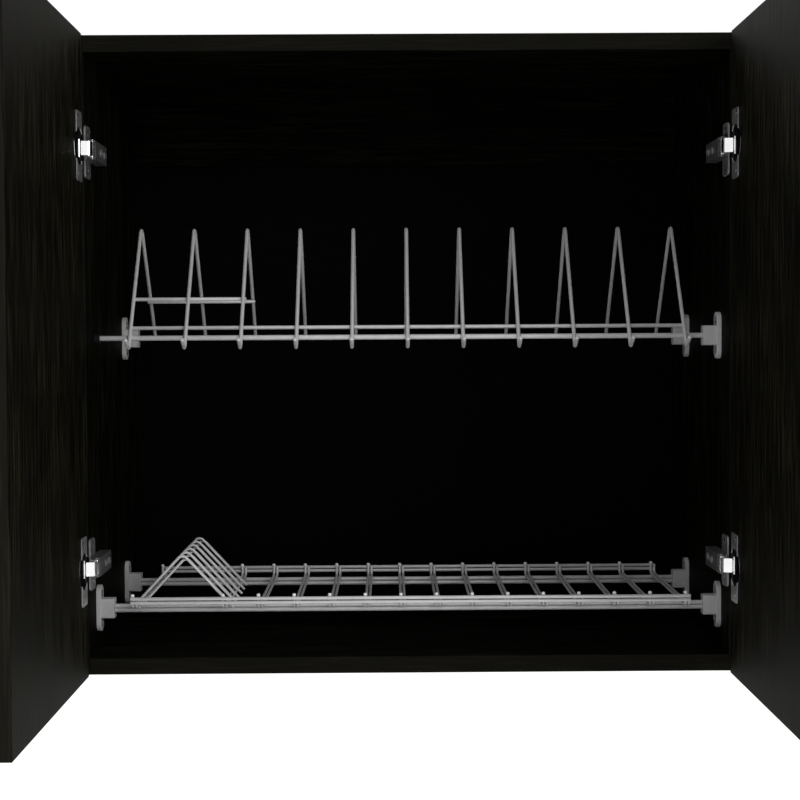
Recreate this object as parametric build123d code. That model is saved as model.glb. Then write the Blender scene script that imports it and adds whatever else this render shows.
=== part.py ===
from build123d import *
from math import asin, atan2, cos, degrees, hypot, radians, sin, tan
import os

# Two-door dish drying cabinet for hanging on a kitchen wall: a board carcass with an upper plate
# rack, a lower cup and glass tray, and two slab doors on cup hinges, shown with both doors open.
# Millimetres. The origin is the centre of the carcass's bottom face, +Z is up, and the front is
# towards -Y. The doors are modelled open at a right angle, which is the rest pose.

# Carcass
cabinet_width = 600.0
cabinet_height = 566.0
cabinet_depth = 300.0
board = 15.0
edge_radius = 0.8
back_panel_thickness = 3.0
back_panel_reveal = 1.0
hanging_rail_height = 70.0
wall_pin_from_side = 100.0
wall_pin_radius = 4.0
wall_pin_depth = 14.0
hanging_rail_gap = 0.1

# Carcass fixings
confirmat_radius = 2.5
confirmat_head_radius = 4.5
confirmat_head_depth = 3.0
confirmat_length = 48.0
confirmat_front_inset = 50.0
confirmat_rear_inset = 50.0
nail_radius = 0.8
nail_head_radius = 2.0
nail_head_depth = 0.8
nail_length = 18.0
nails_across = 3
nails_up = 3
fixing_clearance = 0.1

# Doors
door_gap_to_carcass = 2.0
door_gap_between = 3.0
door_side_reveal = 1.5
door_end_reveal = 1.0

# Cup hinges, measured in from the carcass's outer side and back from its front edge
hinge_bottom_inset = 97.5
hinge_top_inset = 101.5
swing_axis_from_edge = 1.5
swing_axis_from_face = 1.25
cup_radius = 17.5
cup_depth = 13.0
cup_wall = 0.9
cup_floor = 0.6
cup_clearance = 0.1
cup_centre_from_edge = 22.5
cup_rim_radius = 18.5
cup_rim_thickness = 0.4
cup_flange_thickness = 1.6
cup_flange_length = 60.0
cup_flange_width = 24.0
cup_flange_corner_radius = 3.0
cup_screw_spacing = 48.0
cup_screw_offset = 6.0
cup_cheek_half_width = 7.8
cup_cheek_reach = 11.7
cup_notch_half_width = 6.8
cup_pin_from_centre = 13.6
cup_pin_below_face = 1.6
hinge_pin_radius = 1.2
cup_pin_half_length = 9.0
pin_running_clearance = 0.08

# Hinge links and arms
link_reach_across = 9.07
link_reach_back = 12.53
link_corner_across = 9.9
link_corner_back = 2.2
link_corner_radius = 3.0
link_thickness = 1.8
link_eye_radius = 1.95
link_half_height = 6.1
link_cup_eye_half_height = 4.9
pin_path_across = 9.36
pin_path_back = 2.19
pin_overtravel_across = 1.7
pin_overtravel_back = 0.33
arm_notch_half_width = 1.35
arm_mouth_clearance = 0.5
arm_wall = 1.2
arm_half_width = 8.2
arm_pin_half_length = 8.5
arm_rear_end = 49.0

# Hinge mounting plates
plate_thickness = 1.6
plate_front = 1.0
plate_wing_length = 24.0
plate_wing_half_width = 23.2
plate_strip_half_width = 7.0
plate_corner_radius = 5.0
plate_rib_half_width = 6.5
plate_rib_front = 14.0
plate_rib_rear_inset = 4.0
plate_screw_spacing = 32.0
arm_foot_gap = 0.3
arm_screw_radius = 2.0
arm_screw_head_radius = 4.0
arm_screw_head_height = 1.6
arm_adjusting_screw_back = 20.0
arm_fixing_screw_back = 38.0

# Small wood screws, used for brackets, cups and mounting plates
wood_screw_radius = 1.75
wood_screw_head_radius = 3.5
wood_screw_head_height = 1.6
wood_screw_length = 11.5

# Racks
rack_front_back = 44.0
rack_rear_back = 206.0
weld_sink = 0.2
pair_gap = 0.05
rail_end_clearance = 0.3
upper_rail_height = 299.5
upper_rail_diameter = 4.6
divider_diameter = 3.5
divider_pitch = 50.5
divider_end_clearance = 32.0
divider_apex_back = 118.0
divider_apex_height = 106.2
divider_bend_radius = 6.0
divider_foot_drop = 9.4
divider_foot_bend_radius = 3.0
divider_toe_length = 18.0
divider_toe_rise = 8.0
stop_wire_height = 9.2
small_plate_wire_height = 35.9
small_plate_dividers = 3
wire_overrun = 1.0

# Lower tray
lower_rail_height = 54.7
lower_rail_diameter = 4.0
tray_wire_diameter = 2.8
tray_wire_pitch = 32.0
tray_end_clearance = 36.5
cup_bay_least_width = 80.0
tray_front_back = 13.5
tray_rear_back = 212.0
tray_tip_height = 70.0
tray_bend_radius = 4.0
tray_rim_height = 65.8
tray_rim_spacing = 3.7
tray_rim_overrun = 1.5
companion_tip_drop = 3.0

# Cup holder hoops on the tray's left end
hoop_count = 6
hoop_pitch = 27.0
hoop_first_back = 25.0
hoop_leg_angle = 47.0
hoop_bend_radius = 5.0
hoop_foot_overrun = 4.0

# Rack brackets
bracket_flange_length = 42.5
bracket_flange_width = 16.0
bracket_flange_thickness = 4.0
bracket_block_height = 18.0
bracket_block_width = 13.0
bracket_block_length = 12.0
bracket_block_radius = 1.5
bracket_edge_radius = 0.6
bracket_screw_spacing = 27.0
bracket_bore_clearance = 0.1
lower_bracket_height = 53.0

# Dark peg that carries the upper front rail's left end
peg_radius = 4.5
peg_length = 5.0
peg_floor = 1.2
peg_dowel_radius = 2.5
peg_dowel_length = 9.0
peg_rail_gap = 0.1
bare_rail_end_gap = 3.8

cut_overrun = 2.0

half_width = cabinet_width / 2
inner_half_width = half_width - board
front = -cabinet_depth / 2
back = cabinet_depth / 2
back_panel_front = back - back_panel_thickness
hanging_rail_top = cabinet_height - board
hanging_rail_centre = hanging_rail_top - hanging_rail_height / 2
rack_front = front + rack_front_back
rack_rear = front + rack_rear_back


def save(name, *solids):
    """Write one sub-part, made of one or more separate solids, to its own file."""
    shape = solids[0] if len(solids) == 1 else Compound(children=list(solids))
    export_step(shape, f"parts/{name}.step")


def block(low, high):
    """Rectangular solid between two opposite corners."""
    size = [b - a for a, b in zip(low, high)]
    centre = [(a + b) / 2 for a, b in zip(low, high)]
    return Pos(*centre) * Box(*size)


def rod(start, end, radius):
    """Round bar with flat ends between two points."""
    axis = Vector(*end) - Vector(*start)
    return extrude(Plane(origin=start, z_dir=axis) * Circle(radius), amount=axis.length)


def bent_rod(points, radius, bend_radius):
    """Round wire along straight runs joined by tangent bends."""
    path = FilletPolyline(*points, radius=bend_radius)
    return sweep(Plane(origin=path @ 0, z_dir=path % 0) * Circle(radius), path=path)


def countersunk_screw(tip_depth, radius, head_radius, head_height):
    """Screw along +Z: the head's top lies at zero and the shank points down."""
    head = Pos(0, 0, -head_height / 2) * Cone(radius, head_radius, head_height)
    return head + rod((0, 0, -head_height), (0, 0, -tip_depth), radius)


def mirrored(shape):
    """The same shape on the other side of the cabinet."""
    return mirror(shape, about=Plane.YZ)


# Carcass boards

def softened(panel, axis):
    """Round the panel's long front edges, as edge banding does."""
    edges = panel.edges().filter_by(axis).group_by(Axis.Y)[0]
    return fillet(edges, edge_radius)


def side_panel(peg_hole):
    """Side board with its screw holes, seen as the left one, with or without the peg's hole."""
    panel = block((-half_width, front, 0), (-inner_half_width, back_panel_front, cabinet_height))
    panel = softened(panel, Axis.Z)
    shank = confirmat_radius + fixing_clearance
    head = confirmat_head_radius + fixing_clearance
    sink = confirmat_head_depth + fixing_clearance
    for y, z in confirmat_places():
        panel -= rod((-half_width - cut_overrun, y, z), (-inner_half_width + cut_overrun, y, z), shank)
        panel -= rod((-half_width - cut_overrun, y, z), (-half_width + sink, y, z), head)
    for y, z in bracket_places():
        if peg_hole and (y, z) == missing_bracket:
            mouth = (-inner_half_width + cut_overrun, y, z)
            panel -= rod(mouth, peg_tip(), peg_dowel_radius + fixing_clearance)
        else:
            for place in bracket_screw_places(y, z):
                panel -= place * screw_hole()
    for z in hinge_heights():
        for place in plate_screw_places():
            panel -= Pos(0, 0, z) * (place * screw_hole())
    return panel


def confirmat_places():
    """Depth and height of the screws that hold a side to the top and bottom boards."""
    depths = (front + confirmat_front_inset, back_panel_front - confirmat_rear_inset)
    heights = (board / 2, cabinet_height - board / 2)
    return [(y, z) for y in depths for z in heights]


def shelf_board(height):
    """Top or bottom board between the sides, with blind holes in its ends."""
    low = (-inner_half_width, front, height)
    high = (inner_half_width, back_panel_front, height + board)
    shelf = softened(block(low, high), Axis.X)
    hole_end = half_width - confirmat_length - fixing_clearance
    for y, z in confirmat_places():
        if height < z < height + board:
            for side in (-1, 1):
                mouth = (side * (inner_half_width + cut_overrun), y, z)
                shelf -= rod(mouth, (side * hole_end, y, z), confirmat_radius + fixing_clearance)
    return shelf


def confirmat_screws():
    """Headed screws let flush into the sides, four on each."""
    screws = []
    for y, z in confirmat_places():
        head = rod((-half_width, y, z), (-half_width + confirmat_head_depth, y, z), confirmat_head_radius)
        shank = rod((-half_width, y, z), (-half_width + confirmat_length, y, z), confirmat_radius)
        screws.append(head + shank)
    return screws + [mirrored(screw) for screw in screws]


def nail_places():
    """Places of the nails that hold the back panel: along both sides, the top and the bottom."""
    half_across = half_width - board / 2
    places = []
    for row in range(nails_up):
        z = board / 2 + (cabinet_height - board) * row / (nails_up - 1)
        columns = range(nails_across) if row in (0, nails_up - 1) else (0, nails_across - 1)
        places += [(half_across * (2 * column / (nails_across - 1) - 1), z) for column in columns]
    return places


def back_panel():
    """Thin board over the carcass's rear edges, with nail and wall pin holes."""
    panel = block(
        (-half_width + back_panel_reveal, back_panel_front, back_panel_reveal),
        (half_width - back_panel_reveal, back, cabinet_height - back_panel_reveal),
    )
    for x, z in nail_places():
        panel -= rod((x, back_panel_front - cut_overrun, z), (x, back, z), nail_radius + fixing_clearance)
        seat = back - nail_head_depth - fixing_clearance
        panel -= rod((x, seat, z), (x, back + cut_overrun, z), nail_head_radius + fixing_clearance)
    return panel - wall_pin_holes()


def back_panel_nails():
    """Flat-headed nails through the back panel into the boards' rear edges."""
    nails = []
    for x, z in nail_places():
        head = rod((x, back - nail_head_depth, z), (x, back, z), nail_head_radius)
        nails.append(head + rod((x, back - nail_length, z), (x, back, z), nail_radius))
    return nails


def nail_holes():
    """Holes that the nails' shanks fill in the boards."""
    holes = None
    for x, z in nail_places():
        tip = back - nail_length - fixing_clearance
        hole = rod((x, tip, z), (x, back_panel_front + cut_overrun, z), nail_radius + fixing_clearance)
        holes = hole if holes is None else holes + hole
    return holes


def wall_pin_holes():
    """The two blind holes in the back that hang the cabinet on its wall pins."""
    x = half_width - wall_pin_from_side
    bottom = (-x, back - wall_pin_depth, hanging_rail_centre)
    left = rod(bottom, (-x, back + cut_overrun, hanging_rail_centre), wall_pin_radius)
    return left + mirrored(left)


def hanging_rail():
    """Board behind the top board that carries the cabinet's weight."""
    reach = inner_half_width - hanging_rail_gap
    low = (-reach, back_panel_front - board, hanging_rail_top - hanging_rail_height)
    return block(low, (reach, back_panel_front, hanging_rail_top)) - wall_pin_holes()


# Rack brackets

missing_bracket = (rack_front, upper_rail_height)


def bracket_places():
    """Depth and height of the brackets' rail bores on one side."""
    return [(y, z) for z in (lower_bracket_height, upper_rail_height) for y in (rack_front, rack_rear)]


def driven_at(face, y, z):
    """Place of a small screw driven towards the left through a face at this depth and height."""
    return Pos(face, y, z) * Rot(0, 90, 0)


def bracket_screw_places(y, z):
    """Places of the two screws of one left-hand bracket."""
    face = -inner_half_width + bracket_flange_thickness
    return [driven_at(face, y, z + side * bracket_screw_spacing / 2) for side in (-1, 1)]


def bracket(y, z, rail_heights, rail_radius):
    """Moulded wall bracket: a round-ended flange and a block bored for the rail ends."""
    face = -inner_half_width + bracket_flange_thickness
    outline = Plane(origin=(-inner_half_width, y, z), x_dir=(0, 0, 1), z_dir=(1, 0, 0))
    flange_outline = outline * SlotOverall(bracket_flange_length, bracket_flange_width)
    flange = rounded_end(extrude(flange_outline, amount=bracket_flange_thickness))
    boss_section = outline * RectangleRounded(bracket_block_height, bracket_block_width, bracket_block_radius)
    boss = rounded_end(extrude(boss_section, amount=bracket_flange_thickness + bracket_block_length))
    body = flange + boss
    for height in rail_heights:
        mouth = (face + bracket_block_length + cut_overrun, y, height)
        body -= rod((face, y, height), mouth, rail_radius + bracket_bore_clearance)
    for place in bracket_screw_places(y, z):
        body -= place * screw_hole()
    return body


def rounded_end(moulding):
    """The moulding with the edges of its inner end face rounded."""
    return fillet(moulding.faces().sort_by(Axis.X)[-1].edges(), bracket_edge_radius)


def screw_hole():
    """Countersunk hole for a small wood screw, mouth at zero, pointing down -Z."""
    hole = countersunk_screw(
        wood_screw_length + fixing_clearance,
        wood_screw_radius + fixing_clearance,
        wood_screw_head_radius + fixing_clearance,
        wood_screw_head_height + fixing_clearance,
    )
    return hole + rod((0, 0, 0), (0, 0, cut_overrun), wood_screw_head_radius + fixing_clearance)


def wood_screw():
    """Small countersunk wood screw, head's top at zero, pointing down -Z."""
    return countersunk_screw(
        wood_screw_length,
        wood_screw_radius,
        wood_screw_head_radius,
        wood_screw_head_height,
    )


def peg_tip():
    """Inner end of the peg's dowel in the left side board."""
    return (-inner_half_width - peg_dowel_length, rack_front, upper_rail_height)


def rail_end_peg():
    """Open-topped peg pushed into the side board, in place of the bracket that is not there."""
    wall = -inner_half_width
    y = rack_front
    z = upper_rail_height
    peg = rod(peg_tip(), (wall, y, z), peg_dowel_radius)
    peg += rod((wall, y, z), (wall + peg_length, y, z), peg_radius)
    channel = upper_rail_diameter / 2 + peg_rail_gap
    start = wall + peg_floor
    end = wall + peg_length + cut_overrun
    peg -= rod((start, y, z), (end, y, z), channel)
    peg -= block((start, y - channel, z), (end, y + channel, z + peg_radius + cut_overrun))
    return peg


# Upper plate rack

rail_end = inner_half_width - bracket_flange_thickness - rail_end_clearance
upper_rail_radius = upper_rail_diameter / 2
divider_radius = divider_diameter / 2
apex = (front + divider_apex_back, upper_rail_height + divider_apex_height)


def upper_rail(y, left_end):
    """Straight rail across the cabinet."""
    return rod((-left_end, y, upper_rail_height), (rail_end, y, upper_rail_height), upper_rail_radius)


def front_leg_direction():
    """Unit direction (Y, Z) down the front leg, which lies against the front of its rail."""
    to_rail = (rack_front - apex[0], upper_rail_height - apex[1])
    stand_off = upper_rail_radius + divider_radius - weld_sink
    angle = atan2(to_rail[1], to_rail[0]) - asin(stand_off / hypot(*to_rail))
    return (cos(angle), sin(angle))


def front_leg_at(height):
    """Depth of the front leg's axis at a height."""
    along = front_leg_direction()
    return apex[0] + along[0] * (height - apex[1]) / along[1]


def rear_leg_direction():
    """Unit direction (Y, Z) down the rear leg, which is butted on its rail."""
    run = (rack_rear - apex[0], upper_rail_height - apex[1])
    length = hypot(*run)
    return (run[0] / length, run[1] / length)


def divider(x):
    """Plate divider: a bent wire with a rear leg, a front leg and an upturned toe."""
    rear = rear_leg_direction()
    seat = upper_rail_radius - weld_sink
    rear_foot = (x, rack_rear - rear[0] * seat, upper_rail_height - rear[1] * seat)
    foot_height = upper_rail_height - divider_foot_drop
    foot = (x, front_leg_at(foot_height), foot_height)
    toe = (x, foot[1] - divider_toe_length, foot_height + divider_toe_rise)
    leg_points = [rear_foot, (x, *apex), foot, toe]
    bends = [divider_bend_radius, divider_foot_bend_radius]
    return bent_rod(leg_points, divider_radius, bends)


def divider_places():
    """Places of the dividers across the cabinet: an even row, as long as the sides allow."""
    gaps = int(2 * (inner_half_width - divider_end_clearance) / divider_pitch)
    return [divider_pitch * (number - gaps / 2) for number in range(gaps + 1)]


def wire_under_leg(direction, leg_depth, height):
    """Depth and height of a cross wire welded to the inner side of a leg at a height."""
    stand_off = divider_diameter - weld_sink
    inward = 1 if direction[0] < 0 else -1
    return (leg_depth + inward * stand_off / abs(direction[1]), height)


def cross_wire_on_dividers(first, last, place):
    """Wire across the dividers from one to another, just past both."""
    places = divider_places()
    overrun = divider_radius + wire_overrun
    return rod((places[first] - overrun, *place), (places[last] + overrun, *place), divider_radius)


def plate_stop_wire():
    """Wire behind the front legs, low down, that stops the plates' rims."""
    height = upper_rail_height + stop_wire_height
    place = wire_under_leg(front_leg_direction(), front_leg_at(height), height)
    return cross_wire_on_dividers(0, -1, place)


def small_plate_wires():
    """Two wires across the first dividers, which hold small plates higher up."""
    height = upper_rail_height + small_plate_wire_height
    rear = rear_leg_direction()
    rear_leg_depth = apex[0] + rear[0] * (height - apex[1]) / rear[1]
    places = [
        wire_under_leg(front_leg_direction(), front_leg_at(height), height),
        wire_under_leg(rear, rear_leg_depth, height),
    ]
    return [cross_wire_on_dividers(0, small_plate_dividers - 1, place) for place in places]


# Lower tray

lower_rail_radius = lower_rail_diameter / 2
tray_wire_radius = tray_wire_diameter / 2
twin_rail_height = lower_rail_height - lower_rail_diameter - pair_gap
tray_level = lower_rail_height + lower_rail_radius + tray_wire_radius - weld_sink
side_by_side = tray_wire_diameter - weld_sink
tray_front = front + tray_front_back
tray_rear = front + tray_rear_back
tray_half_span = inner_half_width - tray_end_clearance


def lower_rail(y, height):
    """Straight rail under the tray."""
    return rod((-rail_end, y, height), (rail_end, y, height), lower_rail_radius)


def tray_wire(x, tip_height):
    """Tray wire from front to back with both ends bent up."""
    points = [
        (x, tray_front, tip_height),
        (x, tray_front, tray_level),
        (x, tray_rear, tray_level),
        (x, tray_rear, tip_height),
    ]
    return bent_rod(points, tray_wire_radius, tray_bend_radius)


def tray_places():
    """Places of the tray wires: one at the left end, the cup bay, and an even row to the right end."""
    gaps = int((2 * tray_half_span - cup_bay_least_width) / tray_wire_pitch)
    row = [tray_half_span - tray_wire_pitch * (gaps - number) for number in range(gaps + 1)]
    return [-tray_half_span] + row


def tray_rim(y):
    """Two wires, one above the other, along the outside of the upturned ends."""
    reach = tray_half_span + side_by_side + tray_wire_radius + tray_rim_overrun
    heights = (tray_rim_height, tray_rim_height - tray_rim_spacing)
    return [rod((-reach, y, height), (reach, y, height), tray_wire_radius) for height in heights]


def hoop_corner():
    """Place (X, Z) where a hoop's two legs would meet if they had no bend."""
    second_wire = tray_places()[1] + side_by_side
    right_foot = second_wire + side_by_side / sin(radians(hoop_leg_angle))
    middle = (right_foot - tray_half_span) / 2
    return (middle, tray_level + (middle + tray_half_span) * tan(radians(hoop_leg_angle)))


def hoop(y, shift, left_foot_height, right_foot_height):
    """Cup hoop: a wire bent to a peak, moved by shift down the line of its right leg."""
    slope = radians(hoop_leg_angle)
    peak = hoop_corner()
    x = peak[0] + shift * cos(slope)
    z = peak[1] - shift * sin(slope)
    left = (x - (z - left_foot_height) / tan(slope), y, left_foot_height)
    right = (x + (z - right_foot_height) / tan(slope), y, right_foot_height)
    return bent_rod([left, (x, y, z), right], tray_wire_radius, hoop_bend_radius)


def hoop_depths():
    """Depths of the hoops from front to back."""
    return [front + hoop_first_back + hoop_pitch * number for number in range(hoop_count)]


def main_hoops():
    """Hoops butted on the first tray wire and laid over the second pair."""
    slope = radians(hoop_leg_angle)
    left_foot_height = tray_level + (tray_wire_radius - weld_sink) * sin(slope)
    contact_height = tray_level + side_by_side * cos(slope)
    right_foot_height = contact_height - hoop_foot_overrun * sin(slope)
    return [hoop(y, 0, left_foot_height, right_foot_height) for y in hoop_depths()]


def companion_hoops():
    """The second hoop of each pair: behind the first, and lower along its right leg."""
    slope = radians(hoop_leg_angle)
    shift = (side_by_side + side_by_side / sin(slope)) / (2 * cos(slope))
    contact_height = tray_level - side_by_side * cos(slope)
    foot_height = contact_height - tray_wire_radius * sin(slope)
    behind = tray_wire_diameter + pair_gap
    return [hoop(y + behind, shift, foot_height, foot_height) for y in hoop_depths()]


# Doors

door_width = (cabinet_width - 2 * door_side_reveal - door_gap_between) / 2
swing_axis = (
    -half_width + door_side_reveal + swing_axis_from_edge,
    front - door_gap_to_carcass - board + swing_axis_from_face,
)
door_outer = swing_axis[0] - swing_axis_from_face
door_inner = door_outer + board
door_hinge_edge = swing_axis[1] + swing_axis_from_edge
cup_centre_y = door_hinge_edge - cup_centre_from_edge


def hinge_heights():
    """Heights of the two hinges of a door."""
    return (hinge_bottom_inset, cabinet_height - hinge_top_inset)


def door():
    """Left slab door, open, with its two cup bores and the cup screw holes."""
    slab = block(
        (door_outer, door_hinge_edge - door_width, door_end_reveal),
        (door_inner, door_hinge_edge, cabinet_height - door_end_reveal),
    )
    slab = fillet(slab.edges(), edge_radius)
    for z in hinge_heights():
        mouth = (door_inner + cut_overrun, cup_centre_y, z)
        slab -= rod((door_inner - cup_depth, cup_centre_y, z), mouth, cup_radius)
        for place in cup_screw_places():
            slab -= Pos(0, 0, z) * (place * screw_hole())
    return slab


# Cup hinges

cup_pin = (door_inner - cup_pin_below_face, cup_centre_y + cup_pin_from_centre)
arm_pin = (cup_pin[0] + link_reach_across, cup_pin[1] + link_reach_back)


def cup_screw_places():
    """Places of the two screws of one cup, from the hinge's middle."""
    face = door_inner + cup_flange_thickness
    y = cup_centre_y - cup_screw_offset
    return [driven_at(face, y, side * cup_screw_spacing / 2) for side in (-1, 1)]


def plan_extrude(outline, half_height):
    """Solid of a plan outline, even above and below the hinge's middle."""
    return extrude(outline, amount=half_height, both=True)


def hinge_cup():
    """Cup in the door: shell, rim, flange with a notch for the link, and cheeks for the pin."""
    outline = Plane(origin=(door_inner, cup_centre_y, 0), x_dir=(0, 0, 1), z_dir=(1, 0, 0))
    flange_outline = RectangleRounded(cup_flange_length, cup_flange_width, cup_flange_corner_radius)
    flange = extrude(outline * flange_outline, amount=cup_flange_thickness)
    flange += extrude(outline * Circle(cup_rim_radius), amount=cup_rim_thickness)
    shell_end = door_inner - cup_depth + cup_clearance
    shell = rod((shell_end, cup_centre_y, 0), (door_inner, cup_centre_y, 0), cup_radius - cup_clearance)
    inner_radius = cup_radius - cup_clearance - cup_wall
    face = door_inner + cup_flange_thickness + cut_overrun
    cavity = rod((shell_end + cup_floor, cup_centre_y, 0), (face, cup_centre_y, 0), inner_radius)
    cheek_edge = cup_centre_y + cup_cheek_reach
    cheek_low = (shell_end, cheek_edge, cup_cheek_half_width)
    cheek = block(cheek_low, (door_inner, cup_centre_y + cup_radius, cup_radius))
    cavity -= cheek + mirror(cheek, about=Plane.XY)
    notch = block(
        (door_inner, cup_centre_y, -cup_notch_half_width),
        (face, cup_centre_y + cup_rim_radius + cut_overrun, cup_notch_half_width),
    )
    cup = flange + shell - cavity - notch
    cup -= rod((*cup_pin, -cup_pin_half_length), (*cup_pin, cup_pin_half_length), hinge_pin_radius)
    for place in cup_screw_places():
        cup -= place * screw_hole()
    return cup


def hinge_link():
    """Link plate, flat towards the front and bent back at a corner, its cup eye narrower."""
    corner = (cup_pin[0] + link_corner_across, cup_pin[1] + link_corner_back)
    plate = trace(FilletPolyline(cup_pin, corner, arm_pin, radius=link_corner_radius), link_thickness)
    for place in (cup_pin, arm_pin):
        plate += Pos(*place) * Circle(link_eye_radius)
    for place in (cup_pin, arm_pin):
        plate -= Pos(*place) * Circle(hinge_pin_radius + pin_running_clearance)
    beside_eye = block(
        (cup_pin[0] - link_eye_radius - cut_overrun, cup_pin[1] - cup_radius, link_cup_eye_half_height),
        (cup_pin[0] + link_eye_radius, cup_pin[1] + cup_radius, link_half_height + cut_overrun),
    )
    return plan_extrude(plate, link_half_height) - beside_eye - mirror(beside_eye, about=Plane.XY)


def pin_at(place, half_length):
    """Plain hinge pin."""
    return rod((*place, -half_length), (*place, half_length), hinge_pin_radius)


notch_bottom = (arm_pin[0] - pin_overtravel_across, arm_pin[1] - pin_overtravel_back)
pin_path_end = (notch_bottom[0] + pin_path_across, notch_bottom[1] + pin_path_back)
side_inner = -inner_half_width
plate_face = side_inner + plate_thickness
arm_nose_radius = arm_notch_half_width + arm_wall
arm_web = arm_pin[0] + arm_nose_radius
arm_heel = front + arm_rear_end


def hinge_arm():
    """Channel arm: two cheeks notched for the link's pin, and a web behind the link's mouth."""
    foot = plate_face + arm_foot_gap
    outline = make_hull([
        *(Pos(*notch_bottom) * Circle(arm_nose_radius)).edges(),
        *(Pos(*arm_pin) * Circle(arm_nose_radius)).edges(),
        Line((foot, front + plate_front), (foot, arm_heel)),
        Line((foot, arm_heel), (arm_web, arm_heel)),
    ])
    arm = plan_extrude(outline, arm_half_width)
    mouth_rear = pin_path_end[1] + link_eye_radius + arm_mouth_clearance
    mouth_front = notch_bottom[1] - arm_nose_radius - cut_overrun
    hollow = Polygon(
        (foot - cut_overrun, mouth_front),
        (arm_web + cut_overrun, mouth_front),
        (arm_web + cut_overrun, mouth_rear),
        (arm_web - arm_wall, mouth_rear),
        (arm_web - arm_wall, arm_heel + cut_overrun),
        (foot - cut_overrun, arm_heel + cut_overrun),
        align=None,
    )
    arm -= plan_extrude(hollow, arm_half_width - arm_wall)
    run = Vector(*pin_path_end) - Vector(*notch_bottom)
    middle = (Vector(*pin_path_end) + Vector(*notch_bottom)) / 2
    notch = Rot(0, 0, degrees(atan2(run.Y, run.X))) * SlotCenterToCenter(run.length, 2 * arm_notch_half_width)
    arm -= plan_extrude(Pos(middle.X, middle.Y) * notch, arm_half_width + cut_overrun)
    for screw_back in (arm_adjusting_screw_back, arm_fixing_screw_back):
        start = (arm_web - arm_wall - cut_overrun, front + screw_back, 0)
        arm -= rod(start, (arm_web + cut_overrun, front + screw_back, 0), arm_screw_radius + fixing_clearance)
    return arm


def mounting_plate():
    """Plate screwed to the side board: two wings, a strip and the rib that the arm sits on."""
    wing_outline = RectangleRounded(plate_wing_length, 2 * plate_wing_half_width, plate_corner_radius)
    outline = Plane(origin=(side_inner, 0, 0), x_dir=(0, 1, 0), z_dir=(1, 0, 0))
    strip_middle = front + (plate_front + arm_rear_end) / 2
    strip = Pos(strip_middle, 0) * Rectangle(arm_rear_end - plate_front, 2 * plate_strip_half_width)
    plate = extrude(outline * (Pos(plate_wing_middle, 0) * wing_outline + strip), amount=plate_thickness)
    rib_top = arm_web - arm_wall
    plate += block(
        (side_inner, front + plate_rib_front, -plate_rib_half_width),
        (rib_top, arm_heel - plate_rib_rear_inset, plate_rib_half_width),
    )
    for place in plate_screw_places():
        plate -= place * screw_hole()
    for screw_back in (arm_adjusting_screw_back, arm_fixing_screw_back):
        tip = (plate_face, front + screw_back, 0)
        plate -= rod(tip, (rib_top + cut_overrun, front + screw_back, 0), arm_screw_radius + fixing_clearance)
    return plate


plate_wing_middle = front + plate_front + plate_wing_length / 2


def plate_screw_places():
    """Places of a mounting plate's two screws, from the hinge's middle."""
    return [driven_at(plate_face, plate_wing_middle, side * plate_screw_spacing / 2) for side in (-1, 1)]


def arm_screws():
    """Adjusting screw and fixing screw of one arm, headed on the web."""
    screws = []
    for screw_back in (arm_adjusting_screw_back, arm_fixing_screw_back):
        y = front + screw_back
        head = rod((arm_web, y, 0), (arm_web + arm_screw_head_height, y, 0), arm_screw_head_radius)
        screws.append(head + rod((plate_face, y, 0), (arm_web, y, 0), arm_screw_radius))
    return screws


def at_both_hinges(solids):
    """Copies of left-hand hinge solids at both hinge heights."""
    return [Pos(0, 0, z) * solid for z in hinge_heights() for solid in solids]


def on_both_sides(solids):
    """The left-hand solids and their mirror copies on the right."""
    return solids + [mirrored(solid) for solid in solids]


# Write every sub-part

os.makedirs("parts", exist_ok=True)

holes = nail_holes()
save("left_side_panel", side_panel(peg_hole=True) - holes)
save("right_side_panel", mirrored(side_panel(peg_hole=False)) - holes)
save("bottom_panel", shelf_board(0) - holes)
save("top_panel", shelf_board(cabinet_height - board) - holes)
save("back_panel", back_panel())
save("hanging_rail", hanging_rail())
save("carcass_screws", *confirmat_screws())
save("back_panel_nails", *back_panel_nails())

save("upper_front_rail", upper_rail(rack_front, inner_half_width - bare_rail_end_gap))
save("upper_rear_rail", upper_rail(rack_rear, rail_end))
save("plate_dividers", *[divider(x) for x in divider_places()])
save("plate_stop_wire", plate_stop_wire())
save("small_plate_wires", *small_plate_wires())

for label, depth in (("front", rack_front), ("rear", rack_rear)):
    save(f"lower_{label}_rail", lower_rail(depth, lower_rail_height))
    save(f"lower_{label}_rail_twin", lower_rail(depth, twin_rail_height))
save("tray_cross_wires", *[tray_wire(x, tray_tip_height) for x in tray_places()])
companion_tip = tray_tip_height - companion_tip_drop
save("tray_companion_wires", *[tray_wire(x + side_by_side, companion_tip) for x in tray_places()])
save("tray_front_rim", *tray_rim(tray_front - side_by_side))
save("tray_rear_rim", *tray_rim(tray_rear + side_by_side))
save("cup_hoops", *main_hoops())
save("cup_companion_hoops", *companion_hoops())

bracket_screws = []
for y, z in bracket_places():
    level = "upper" if z == upper_rail_height else "lower"
    depth_name = "front" if y == rack_front else "rear"
    if level == "upper":
        left_bracket = bracket(y, z, [upper_rail_height], upper_rail_radius)
    else:
        left_bracket = bracket(y, z, [lower_rail_height, twin_rail_height], lower_rail_radius)
    screws = [place * wood_screw() for place in bracket_screw_places(y, z)]
    save(f"{level}_right_{depth_name}_bracket", mirrored(left_bracket))
    bracket_screws += [mirrored(screw) for screw in screws]
    if (y, z) != missing_bracket:
        save(f"{level}_left_{depth_name}_bracket", left_bracket)
        bracket_screws += screws
save("bracket_screws", *bracket_screws)
save("rail_end_peg", rail_end_peg())

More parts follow.
